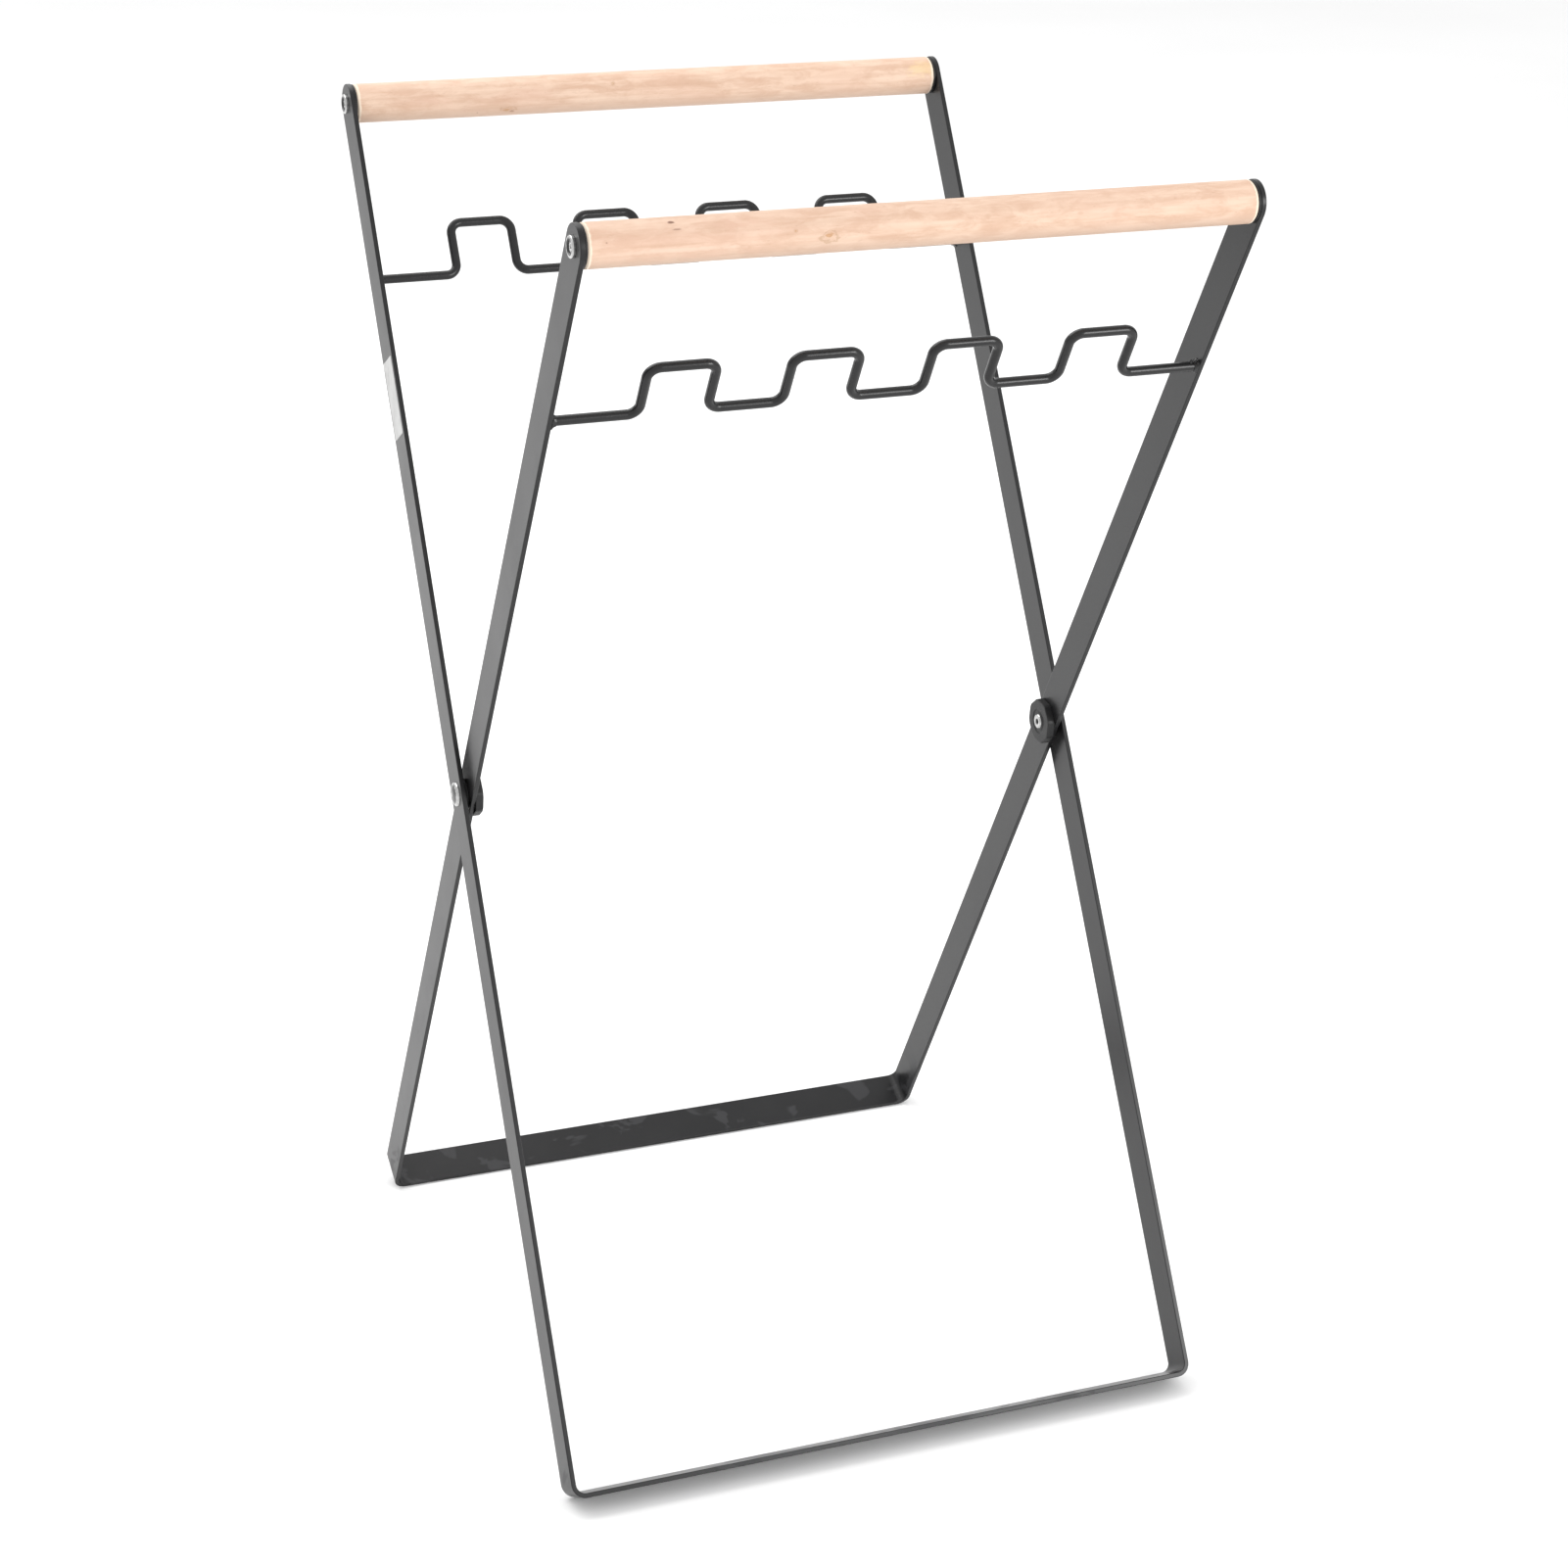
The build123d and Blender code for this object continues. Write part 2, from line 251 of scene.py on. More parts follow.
# ---------------------------------------------------------------- material helpers
class Nodes:
    """Short calls for building one node material."""

    def __init__(self, name):
        self.material = bpy.data.materials.new(name)
        self.material.use_nodes = True
        self.tree = self.material.node_tree
        self.shader = self.tree.nodes["Principled BSDF"]
        self.place = self.node("ShaderNodeTexCoord").outputs["Object"]

    def node(self, kind, **settings):
        made = self.tree.nodes.new(kind)
        for name, value in settings.items():
            setattr(made, name, value)
        return made

    def link(self, source, target):
        self.tree.links.new(source, target)

    def fixed(self, **values):
        """Uniform values, on the shader's own sockets."""
        for name, value in values.items():
            self.shader.inputs[name.replace("_", " ")].default_value = value

    def stretched(self, scale, shift=(0, 0, 0)):
        """Object coordinates, scaled and shifted."""
        mapping = self.node("ShaderNodeMapping")
        mapping.inputs["Scale"].default_value = scale
        mapping.inputs["Location"].default_value = shift
        self.link(self.place, mapping.inputs["Vector"])
        return mapping.outputs["Vector"]

    def noise(self, place, scale, detail=3.0, roughness=0.5, distortion=0.0):
        made = self.node("ShaderNodeTexNoise")
        for name, value in (("Scale", scale), ("Detail", detail), ("Roughness", roughness),
                            ("Distortion", distortion)):
            made.inputs[name].default_value = value
        self.link(place, made.inputs["Vector"])
        return made.outputs["Fac"]

    def ramp(self, value, low, high, to_low=0.0, to_high=1.0):
        """value, taken from low..high to to_low..to_high, and held there."""
        made = self.node("ShaderNodeMapRange")
        made.interpolation_type = "SMOOTHSTEP"
        for name, number in (("From Min", low), ("From Max", high), ("To Min", to_low), ("To Max", to_high)):
            made.inputs[name].default_value = number
        self.link(value, made.inputs["Value"])
        return made.outputs["Result"]

    def maths(self, operation, first, second=None):
        made = self.node("ShaderNodeMath", operation=operation)
        for i, value in enumerate((first, second)):
            if value is None:
                continue
            if isinstance(value, (int, float)):
                made.inputs[i].default_value = value
            else:
                self.link(value, made.inputs[i])
        return made.outputs[0]

    def blend(self, share, first, second):
        """A colour from first to second by share. A colour is a socket or three numbers."""
        made = self.node("ShaderNodeMix", data_type="RGBA")
        sockets = (made.inputs[0], made.inputs[6], made.inputs[7])
        for target, value in zip(sockets, (share, first, second)):
            if isinstance(value, bpy.types.NodeSocket):
                self.link(value, target)
            elif isinstance(value, (int, float)):
                target.default_value = value
            else:
                target.default_value = (*value, 1)
        return made.outputs[2]

    def bump(self, height, strength, distance, before=None):
        made = self.node("ShaderNodeBump")
        made.inputs["Strength"].default_value = strength
        made.inputs["Distance"].default_value = distance
        self.link(height, made.inputs["Height"])
        if before is not None:
            self.link(before, made.inputs["Normal"])
        return made.outputs["Normal"]

    def to_shader(self, **sockets):
        for name, socket in sockets.items():
            self.link(socket, self.shader.inputs[name.replace("_", " ")])
        return self.material


def powder_coat(name, dark, pale, roughness, ior):
    """Satin black powder coat: orange peel, a faintly cloudy sheen, dust specks, and paler, rougher
    patches on the low bars: partly rubbed dust, partly a painted highlight."""
    m = Nodes(name)
    m.fixed(IOR=ior, Metallic=0.0)
    peel = m.noise(m.place, 620.0, detail=2.0)
    grain = m.noise(m.place, 2600.0, detail=1.0)
    cloud = m.noise(m.place, 9.0, detail=4.0, roughness=0.6)
    patch = m.ramp(m.noise(m.stretched((26, 34, 34), (3.1, 0.4, 1.7)), 1.0, 3.0, 0.55, 0.8), 0.55, 0.6)
    up = m.node("ShaderNodeSeparateXYZ")
    m.link(m.place, up.inputs[0])
    # paler patches on the low bars: partly rubbed dust, partly a painted highlight
    dust_and_painted_highlight = m.maths("MULTIPLY", patch, m.ramp(up.outputs["Z"], 0.02, 0.06, 1.0, 0.1))
    tone = m.blend(m.ramp(cloud, 0.3, 0.7), dark, pale)
    tone = m.blend(m.maths("MULTIPLY", dust_and_painted_highlight, 0.75), tone, tuple(2.6 * c for c in pale))
    speck = m.ramp(grain, 0.72, 0.8)
    tone = m.blend(m.maths("MULTIPLY", speck, 0.3), tone, tuple(3 * c for c in pale))
    uneven = m.ramp(cloud, 0.25, 0.75, roughness - 0.03, roughness + 0.03)
    rough = m.maths("ADD", uneven, m.maths("MULTIPLY", dust_and_painted_highlight, 0.12))
    height = m.maths("ADD", peel, m.maths("MULTIPLY", grain, 0.35))
    return m.to_shader(Base_Color=tone, Roughness=rough, Normal=m.bump(height, 0.25, 0.00006))


def pale_wood(name, side, shift, knots, stains, flecks):
    """Pale, sanded, unvarnished wood with its grain along X. Each mark's place is (x in millimetres,
    angle in degrees up from the rail's front); its sizes are in millimetres."""
    m = Nodes(name)
    m.fixed(IOR=1.28, Metallic=0.0)
    rail_middle = middle(f"{side}_rail")

    def distance(x, angle, along, across):
        """Distance from a mark's middle on the rail's surface, 1 at its edge, with a ragged outline."""
        around = radians(angle)
        out, up = RAIL_RADIUS * cos(around), RAIL_RADIUS * sin(around)
        centre = (x * MM, rail_middle.y - out, rail_middle.z + up)
        scale = (1 / (along * MM), 1 / (across * MM), 1 / (across * MM))
        mapping = m.stretched(scale, tuple(-c * s for c, s in zip(centre, scale)))
        length = m.node("ShaderNodeVectorMath", operation="LENGTH")
        m.link(mapping, length.inputs[0])
        return m.maths("ADD", length.outputs["Value"], ragged)

    ragged = m.ramp(m.noise(m.stretched((180, 420, 420), shift), 1.0, 3.0), 0.25, 0.75, -0.3, 0.3)
    rings = m.node("ShaderNodeTexWave", wave_type="BANDS", bands_direction="Z", wave_profile="SIN")
    for socket, value in (("Scale", 1.0), ("Distortion", 5.0), ("Detail", 3.0), ("Detail Scale", 1.3)):
        rings.inputs[socket].default_value = value
    m.link(m.stretched((5, 30, 62), shift), rings.inputs["Vector"])
    grain = m.noise(m.stretched((28, 900, 900), shift), 1.0, 3.0, 0.6)
    mottle = m.noise(m.stretched((48, 150, 150), shift), 1.0, 5.0, 0.65, 0.5)
    blush = m.noise(m.stretched((14, 40, 40), shift), 1.0, 2.0)
    silver = m.noise(m.stretched((9, 90, 90), shift), 1.0, 3.0)
    pores = m.ramp(m.noise(m.stretched((240, 2300, 2300), shift), 1.0, 1.0), 0.7, 0.78)
    tone = m.blend(m.ramp(mottle, 0.34, 0.64), WOOD_DEEP, WOOD_PALE)
    tone = m.blend(m.ramp(blush, 0.45, 0.7, 0.0, 0.4), tone, WOOD_BLUSH)
    tone = m.blend(m.ramp(silver, 0.5, 0.75, 0.0, 0.3), tone, WOOD_SILVER)
    tone = m.blend(m.ramp(rings.outputs["Fac"], 0.5, 1.0, 0.0, 0.17), tone, WOOD_RING)
    tone = m.blend(m.ramp(grain, 0.38, 0.75, 0.0, 0.26), tone, WOOD_RING)
    tone = m.blend(m.maths("MULTIPLY", pores, 0.4), tone, WOOD_PORE)
    place = m.node("ShaderNodeSeparateXYZ")
    m.link(m.place, place.inputs[0])
    axis = rail_middle.z
    # painted shade: the rail is darker towards its underside
    painted_underside_shade = m.ramp(place.outputs["Z"], axis - 0.95 * RAIL_RADIUS, axis - 0.1 * RAIL_RADIUS, 0.75, 0.0)
    tone = m.blend(painted_underside_shade, tone, WOOD_PAINTED_SHADE)
    for (x, angle), (along, across), strength, colour in stains:
        tone = m.blend(m.ramp(distance(x, angle, along, across), 0.2, 1.0, strength, 0.0), tone, colour)
    for (x, angle), (along, across), strength in knots:
        reach = distance(x, angle, along, across)
        ripple = m.maths("SINE", m.maths("MULTIPLY", reach, KNOT_RING_TURNS))
        halo = m.ramp(reach, 0.25, 1.0, strength, 0.0)
        tone = m.blend(m.maths("MULTIPLY", halo, 0.5), tone, WOOD_RING)
        tone = m.blend(m.maths("MULTIPLY", halo, m.ramp(ripple, -0.2, 1.0)), tone, WOOD_KNOT)
        tone = m.blend(m.ramp(reach, 0.0, 0.4, strength, 0.0), tone, WOOD_HEART)
    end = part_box(f"{side}_rail")[1].x
    from_middle = m.maths("ABSOLUTE", place.outputs["X"])
    from_middle = m.maths("ADD", from_middle, m.maths("MULTIPLY", ragged, 0.9 * MM))
    # painted highlight: the rail's chamfered ends are paler
    painted_end_highlight = m.ramp(from_middle, end - 2.6 * MM, end - 1.4 * MM, 0.0, 0.85)
    tone = m.blend(painted_end_highlight, tone, WOOD_PAINTED_HIGHLIGHT)
    for (x, angle), (along, across), strength in flecks:
        tone = m.blend(m.ramp(distance(x, angle, along, across), 0.45, 1.0, strength, 0.0), tone, WOOD_FLECK)
    rough = m.ramp(grain, 0.3, 0.8, 0.48, 0.62)
    height = m.maths("SUBTRACT", m.maths("MULTIPLY", grain, 0.6), m.maths("MULTIPLY", pores, 0.5))
    return m.to_shader(Base_Color=tone, Roughness=rough, Normal=m.bump(height, 0.3, 0.12 * MM))


def bright_plate(name, tone, roughness, painted_dark_rings):
    """Bright zinc or nickel plate: turned marks round the X axis, a cloudy sheen, and dark rings round axes
    along X: painted shade in the rail screws' dished heads and the rivets' bores, and a painted dark
    reflection on the rivet heads' domes. Each ring is (axis y, axis z, inner radius, outer radius, least
    distance from X = 0, strength)."""
    m = Nodes(name)
    m.fixed(Metallic=1.0, IOR=1.8)
    cloud = m.noise(m.place, 420.0, 3.0)
    scuffs = m.noise(m.stretched((9000, 500, 500)), 1.0, 2.0)
    colour = m.blend(m.ramp(cloud, 0.3, 0.7), tuple(0.75 * c for c in tone), tone)
    across = m.node("ShaderNodeSeparateXYZ")
    m.link(m.place, across.inputs[0])
    from_middle = m.maths("ABSOLUTE", across.outputs["X"])
    # dark rings round each axis: painted shade in recesses, painted dark reflection on the rivet domes
    for y, z, inner, outer, least, strength in painted_dark_rings:
        mapping = m.stretched((0, 1, 1), (0, -y, -z))
        length = m.node("ShaderNodeVectorMath", operation="LENGTH")
        m.link(mapping, length.inputs[0])
        radius = m.maths("ADD", length.outputs["Value"], m.ramp(cloud, 0.3, 0.7, -0.25 * MM, 0.25 * MM))
        inside = m.ramp(radius, inner - 0.3 * MM, inner + 0.3 * MM, 0.0, 1.0)
        painted_shade_and_reflection = m.maths("MULTIPLY", inside, m.ramp(radius, outer - 0.3 * MM, outer + 0.3 * MM, strength, 0.0))
        painted_shade_and_reflection = m.maths("MULTIPLY", painted_shade_and_reflection, m.maths("GREATER_THAN", from_middle, least))
        colour = m.blend(painted_shade_and_reflection, colour, PLATE_PAINTED_SHADE_AND_REFLECTION)
    rough = m.ramp(cloud, 0.25, 0.75, roughness - 0.04, roughness + 0.07)
    return m.to_shader(Base_Color=colour, Roughness=rough, Normal=m.bump(scuffs, 0.12, 0.05 * MM))


def moulded_plastic(name, dark, pale, roughness):
    """Fine matt black plastic or rubber, with a spark-eroded mould texture."""
    m = Nodes(name)
    m.fixed(IOR=1.38, Metallic=0.0)
    texture = m.noise(m.place, 1500.0, 2.0)
    cloud = m.noise(m.place, 90.0, 3.0)
    colour = m.blend(m.ramp(cloud, 0.3, 0.7), dark, pale)
    rough = m.ramp(texture, 0.3, 0.7, roughness - 0.06, roughness + 0.06)
    return m.to_shader(Base_Color=colour, Roughness=rough, Normal=m.bump(texture, 0.35, 0.08 * MM))


def label_film(name):
    """White self-adhesive film, with faint handling marks."""
    m = Nodes(name)
    m.fixed(IOR=1.3, Metallic=0.0)
    fibre = m.noise(m.stretched((900, 300, 300)), 1.0, 3.0)
    cloud = m.noise(m.place, 60.0, 3.0)
    handled = m.ramp(m.noise(m.stretched((60, 260, 90)), 1.0, 4.0, 0.6), 0.5, 0.7, 0.0, 0.4)
    colour = m.blend(m.ramp(cloud, 0.35, 0.75), (0.56, 0.56, 0.555), (0.48, 0.48, 0.475))
    colour = m.blend(handled, colour, (0.32, 0.315, 0.31))
    rough = m.ramp(fibre, 0.3, 0.7, 0.55, 0.7)
    return m.to_shader(Base_Color=colour, Roughness=rough, Normal=m.bump(fibre, 0.15, 0.04 * MM))


def floor_finish(name):
    """A plain pale floor."""
    m = Nodes(name)
    m.fixed(IOR=1.3, Metallic=0.0)
    cloud = m.noise(m.place, 1.2, 2.0)
    colour = m.blend(m.ramp(cloud, 0.3, 0.7), (0.86, 0.86, 0.86), (0.88, 0.88, 0.88))
    rough = m.ramp(cloud, 0.3, 0.7, 0.75, 0.85)
    return m.to_shader(Base_Color=colour, Roughness=rough)


# ---- wood colours, linear
WOOD_DEEP = (0.575, 0.385, 0.28)
WOOD_PALE = (0.685, 0.505, 0.39)
WOOD_BLUSH = (0.625, 0.415, 0.315)
WOOD_SILVER = (0.71, 0.56, 0.45)
WOOD_RING = (0.5, 0.32, 0.22)
WOOD_PORE = (0.3, 0.17, 0.1)
WOOD_KNOT = (0.4, 0.255, 0.155)
WOOD_HEART = (0.47, 0.25, 0.11)
# painted shade for the rails' undersides
WOOD_PAINTED_SHADE = (0.5, 0.36, 0.275)
WOOD_FLECK = (0.14, 0.06, 0.04)
WOOD_YELLOW = (0.7, 0.52, 0.27)
# painted highlight on the rails' chamfered ends
WOOD_PAINTED_HIGHLIGHT = (0.8, 0.69, 0.56)
KNOT_RING_TURNS = 15.0
# painted shade and painted dark reflection on the bright plate
PLATE_PAINTED_SHADE_AND_REFLECTION = (0.035, 0.035, 0.036)

COAT = powder_coat("black_coated_bar", (0.0085, 0.0085, 0.0092), (0.012, 0.012, 0.0128), 0.33, 1.38)
WIRE_COAT = powder_coat("black_coated_wire", (0.007, 0.007, 0.0075), (0.0095, 0.0095, 0.01), 0.24, 1.42)
PLATE = bright_plate("bright_zinc", (0.52, 0.52, 0.515), 0.16, [
    # painted shade in the rail screws' dished heads and the rivets' bores, and a painted dark reflection on
    # the outer rivet heads' domes
    *((middle(f"{side}_rail").y, middle(f"{side}_rail").z, 2.5 * MM, 4.9 * MM, 0.0, 0.92) for side in SIDE),
    (PIVOT.y, PIVOT.z, 1.4 * MM, 2.1 * MM, 0.0, 0.92),
    (PIVOT.y, PIVOT.z, 2.4 * MM, 6.2 * MM, INNER_HALF, 0.7),
])
PLASTIC = moulded_plastic("black_plastic", (0.009, 0.009, 0.0095), (0.015, 0.015, 0.0155), 0.48)
LABEL = label_film("label")
WOOD = {
    "inner": pale_wood(
        "rail_wood_front", "inner", (0.31, 0.17, 0.09),
        knots=[((-63, -6), (7.8, 6.4), 0.62), ((-83, 14), (1.7, 1.4), 0.75)],
        stains=[
            ((-150, 5), (95.0, 15.0), 0.45, WOOD_BLUSH), ((-129, 30), (12.0, 3.7), 0.35, WOOD_RING),
            ((-117, 45), (13.8, 4.6), 0.4, WOOD_BLUSH),
            ((-153, 0), (42.3, 1.1), 0.4, WOOD_RING), ((-145, -14), (55.2, 2.0), 0.5, WOOD_SILVER),
            ((31, 18), (2.9, 2.0), 0.45, WOOD_RING), ((87, 12), (2.2, 1.3), 0.4, WOOD_RING),
            ((131, -8), (23.9, 0.9), 0.4, WOOD_RING), ((147, 35), (1.8, 1.1), 0.4, WOOD_RING),
            ((-88, 40), (11.0, 4.6), 0.3, WOOD_RING),
        ],
        flecks=[((-152, 60), (2.2, 1.2), 0.8), ((-150, 38), (3.1, 0.8), 0.5), ((-190, 16), (0.7, 0.6), 0.4)],
    ),
    "outer": pale_wood(
        "rail_wood_rear", "outer", (0.05, 0.42, 0.23),
        knots=[((-102, -36), (8.3, 4.6), 0.6), ((-29, 31), (2.2, 1.6), 0.6)],
        stains=[
            ((-153, 4), (13.8, 3.7), 0.5, WOOD_BLUSH), ((-110, -20), (23.9, 8.3), 0.35, WOOD_RING),
            ((-88, 14), (22.1, 7.4), 0.4, WOOD_BLUSH), ((195, 30), (14.7, 7.4), 0.5, WOOD_YELLOW),
            ((28, 25), (27.6, 3.7), 0.3, WOOD_RING), ((-66, -14), (4.6, 1.8), 0.35, WOOD_RING),
        ],
        flecks=[((-123, -42), (1.1, 0.8), 0.5), ((-99, -42), (2.4, 0.9), 0.45)],
    ),
}


# ---------------------------------------------------------------- frames
EDGE_STEPS = 4
TIP_STEPS = 28
SCREW_HOLE_RADIUS = 3.02 * MM
RIVET_HOLE_RADIUS = 3.8 * MM


def bar_half_profile():
    """(through the thickness, across the width) from the middle of one wide face, round one narrow
    side, to the middle of the other wide face. Extra points keep the wide faces flat."""
    half_thick = BAR_THICKNESS / 2
    points = [(half_thick, 0.0), (half_thick, HALF_BAR * 0.5), (half_thick, HALF_BAR - 2 * BAR_EDGE_RADIUS)]
    for way in (1, -1):
        for i in range(EDGE_STEPS + 1):
            angle = radians(90) * i / EDGE_STEPS
            turn = angle if way > 0 else radians(90) - angle
            points.append((
                way * (half_thick - BAR_EDGE_RADIUS * (1 - cos(turn))),
                HALF_BAR - BAR_EDGE_RADIUS * (1 - sin(turn)),
            ))
    points += [(-t, w) for t, w in reversed(points[:3])]
    return points


def formed_bar(side):
    """The U-shaped flat bar as a bmesh, in frame coordinates: one outline swept from leg top to leg top,
    with each tip turned about the rail's axis."""
    inset = BAR_THICKNESS / 2
    foot_half = half_width(side, inset) - inset
    corners = [
        (-(TOP_HALF[side] - inset), LEG_LENGTH), (-foot_half, inset), (foot_half, inset),
        (TOP_HALF[side] - inset, LEG_LENGTH),
    ]
    bend = BEND_OUTER_RADIUS - inset
    stations = rounded_path(corners, [bend, bend], run_step=30 * MM)
    half = bar_half_profile()
    last = len(half) - 1
    ring = half + [(t, -w) for t, w in reversed(half[1:-1])]
    bm = bmesh.new()

    def at(station, t, w, turn=0.0):
        """A profile point at a station, turned about the bar's thickness direction."""
        point, heading = station
        along = w * sin(turn)
        return bm.verts.new((
            point.x - t * sin(heading) + along * cos(heading),
            point.y + t * cos(heading) + along * sin(heading),
            w * cos(turn),
        ))

    rows = [[at(s, t, w) for t, w in ring] for s in stations]
    skin(bm, rows, closed=True)
    for station, row, way in ((stations[0], rows[0], -1), (stations[-1], rows[-1], 1)):
        near = [row[i] for i in range(last + 1)]
        fan = [near]
        for k in range(1, TIP_STEPS):
            turn = way * pi * k / TIP_STEPS
            inner = [at(station, t, w, turn) for t, w in half[1:-1]]
            fan.append([near[0], *inner, near[-1]])
        fan.append([near[0], *[row[len(ring) - i] for i in range(1, last)], near[-1]])
        for low, high in zip(fan, fan[1:]):
            for i in range(last):
                corners4 = [low[i], low[i + 1], high[i + 1], high[i]]
                bm.faces.new(list(dict.fromkeys(corners4)))
    return bm


def hole_cutter(name, up, radius, matrix):
    """A round cutter through both legs at a height up the frame."""
    bm = lathe([(-0.3, 0), (-0.3, radius), (0.3, radius), (0.3, 0)], segments=48)
    bm.transform(Matrix.Translation((0, up, 0)))
    return loose_object(name, bm, matrix)


def make_frame(side):
    matrix = frame_matrix(side)
    bar = loose_object(f"{side}_frame_bar", formed_bar(side), matrix)
    cut_away(bar, [
        hole_cutter("screw_hole", LEG_LENGTH, SCREW_HOLE_RADIUS, matrix),
        hole_cutter("rivet_hole", FOOT_TO_PIVOT, RIVET_HOLE_RADIUS, matrix),
    ])
    return finish_piece(bar, COAT, side, f"{side}_frame", sharp_degrees=50)


# ---------------------------------------------------------------- rails
RAIL_CHAMFER = 1.1 * MM
RAIL_SANDING = 0.06 * MM
DISC_RADIUS = 12.3 * MM
DISC_EDGE = 0.35 * MM


def make_rail(side):
    """The turned and hand-sanded rail, never quite true along its length."""
    low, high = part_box(f"{side}_rail")
    centre, half = (low + high) / 2, (high.x - low.x) / 2

    def sanding(x, angle):
        place = Vector((x * 25, cos(angle) * 0.9, sin(angle) * 0.9))
        return RAIL_SANDING * noise.noise(place + Vector((SIDE[side] * 7.3, 0, 0)))

    corners = [
        (-half, 0), (-half, RAIL_RADIUS - RAIL_CHAMFER), (-half + RAIL_CHAMFER, RAIL_RADIUS),
        (half - RAIL_CHAMFER, RAIL_RADIUS), (half, RAIL_RADIUS - RAIL_CHAMFER), (half, 0),
    ]
    path = rounded_path(corners, [0.3 * MM, 0.5 * MM, 0.5 * MM, 0.3 * MM], run_step=4 * MM)
    profile = [tuple(point) for point, _ in path]
    rail = loose_object(f"{side}_rail_turned", lathe(profile, 96, sanding), Matrix.Translation(centre))
    return finish_piece(rail, WOOD[side], side, f"{side}_rail", sharp_degrees=60)


def make_washer(node, name, body, inner_radius, outer_radius, edge, material):
    """A flat ring with rounded edges, in its CAD node's place."""
    low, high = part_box(node)
    centre, half = (low + high) / 2, (high.x - low.x) / 2
    corners = [(-half, inner_radius), (-half, outer_radius), (half, outer_radius), (half, inner_radius)]
    bm = lathe(rounded_loop(corners, edge), 96)
    return finish_piece(loose_object(name, bm, Matrix.Translation(centre)), material, body, node)


# ---------------------------------------------------------------- hook wires and welds
WIRE_SEGMENTS = 28
WELD_RADIUS = 5.2 * MM
WELD_LENGTH = 2.8 * MM
WELD_RIPPLE = 0.22 * MM
WELD_RIPPLES = 9


def make_hook_wire(side):
    """A round wire with a row of square humps, from leg to leg."""
    reach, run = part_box(f"{side}_hook_wire")[1].x, LEG_LENGTH - WIRE_BELOW_RAIL[side]
    top = run + HUMP_HEIGHT
    corners = [(-reach, run)]
    for i in range(HUMP_COUNT):
        hump = (i - (HUMP_COUNT - 1) / 2) * HUMP_PITCH
        left, right = hump - HUMP_WIDTH / 2, hump + HUMP_WIDTH / 2
        corners += [(left, run), (left, top), (right, top), (right, run)]
    corners.append((reach, run))
    stations = rounded_path(corners, [WIRE_BEND_RADIUS] * (4 * HUMP_COUNT), run_step=12 * MM)
    bm = bmesh.new()
    rows = []
    for point, heading in stations:
        row = []
        for i in range(WIRE_SEGMENTS):
            angle = 2 * pi * i / WIRE_SEGMENTS
            across, out = WIRE_RADIUS * cos(angle), WIRE_RADIUS * sin(angle)
            row.append(bm.verts.new((
                point.x - across * sin(heading), point.y + across * cos(heading), WIRE_AWAY + out
            )))
        rows.append(row)
    skin(bm, rows, closed=True)
    for row in (rows[0], rows[-1]):
        bm.faces.new(row)
    wire = loose_object(f"{side}_hook_wire_bent", bm, frame_matrix(side))
    return finish_piece(wire, WIRE_COAT, side, f"{side}_hook_wire")


def weld_bead(end, seed):
    """One rippled bead round a wire's right-hand end, at height 0, its foot on the leg at x = end."""
    corners = [
        (end - WELD_LENGTH, WIRE_RADIUS - 0.4 * MM), (end - WELD_LENGTH, WIRE_RADIUS + 0.35 * MM),
        (end - 1.2 * MM, WIRE_RADIUS + 0.7 * MM), (end - 0.3 * MM, WELD_RADIUS - 0.5 * MM),
        (end, WELD_RADIUS), (end, WIRE_RADIUS - 0.4 * MM),
    ]
    profile = rounded_profile(corners, [0.25 * MM, 0.6 * MM, 0.6 * MM, 0.2 * MM])

    def ripple(x, angle):
        share = (x - end + WELD_LENGTH) / WELD_LENGTH
        lump = noise.noise(Vector((cos(angle) * 1.6 + seed, sin(angle) * 1.6, share)))
        return share * (WELD_RIPPLE * sin(WELD_RIPPLES * angle + 2.2 * share + seed) + 0.5 * MM * lump)

    return lathe(profile, 90, ripple)


def spatter(bm, foot, height, width, lean):
    """A teardrop of weld spatter standing on a surface, added to bm: foot is its middle on the surface,
    and lean shifts its tip across the frame."""
    rows = []
    steps, segments = 7, 14
    for k in range(steps):
        share = k / steps
        radius = width / 2 * sqrt(max(0.0, 1 - share ** 1.6)) * (1 + 0.12 * sin(5 * share))
        rows.append([
            bm.verts.new((
                foot[0] + lean * share ** 2 + radius * cos(2 * pi * i / segments),
                foot[1] + height * share,
                foot[2] + radius * sin(2 * pi * i / segments),
            )) for i in range(segments)
        ])
    skin(bm, rows, closed=True)
    bm.faces.new(rows[0])
    tip = bm.verts.new((foot[0] + lean, foot[1] + height, foot[2]))
    for i in range(segments):
        bm.faces.new((tip, rows[-1][i], rows[-1][(i + 1) % segments]))


